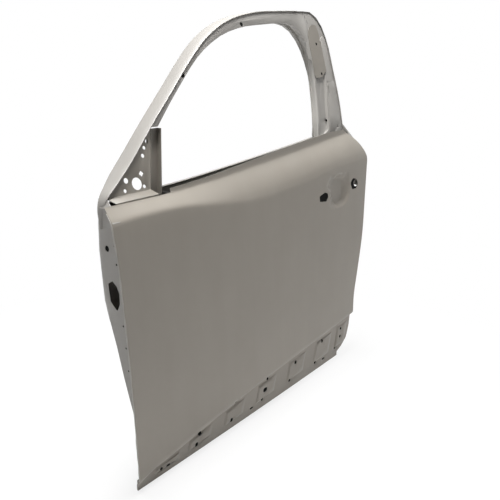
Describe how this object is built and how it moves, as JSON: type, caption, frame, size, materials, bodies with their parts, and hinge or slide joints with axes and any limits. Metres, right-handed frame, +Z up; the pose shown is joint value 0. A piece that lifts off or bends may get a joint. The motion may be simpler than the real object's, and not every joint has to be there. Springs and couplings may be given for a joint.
{
  "type": "car front door shell",
  "caption": "Bare front door shell for a tall car: creased outer panel with a stepped cladding band, deep inner panel, window frame and the reinforcements between them.",
  "frame": {"origin": "on the inner panel's front wall, on the flat face that the upper hinge bolts to", "axes": "+X to the rear of the car, +Y into the cabin, +Z up, so the outer panel faces along -Y"},
  "size_m": [1.0772, 0.2221, 1.1743],
  "materials": {
    "primed_steel": "grey-beige electrocoat primer, satin",
    "primed_brace_steel": "grey-beige electrocoat primer, dull",
    "zinc_plated_steel": "zinc plated",
    "mastic": "cured dark mastic, dull"
  },
  "bodies": {
    "root": {"outer_panel": "primed_steel", "inner_panel": "primed_steel", "frame_outer": "primed_steel", "pillar_outer": "primed_steel", "pillar_plate": "primed_steel", "glass_run_channel": "primed_steel", "mirror_plate": "primed_steel", "front_glass_post": "primed_steel", "rear_glass_channel": "primed_brace_steel", "front_post_bracket": "primed_brace_steel", "rear_channel_bracket": "primed_brace_steel", "belt_reinforcement_outer": "primed_brace_steel", "belt_reinforcement_inner": "primed_brace_steel", "hinge_reinforcement_upper": "primed_brace_steel", "hinge_reinforcement_lower": "primed_brace_steel", "hinge_nut": "zinc_plated_steel", "latch_reinforcement": "primed_brace_steel", "door_beam": "primed_brace_steel", "beam_bracket_front": "primed_brace_steel", "beam_bracket_rear": "primed_brace_steel", "handle_reinforcement": "primed_brace_steel", "mastic_pad_1": "mastic", "mastic_pad_2": "mastic", "mastic_pad_3": "mastic"}
  },
  "joints": []
}
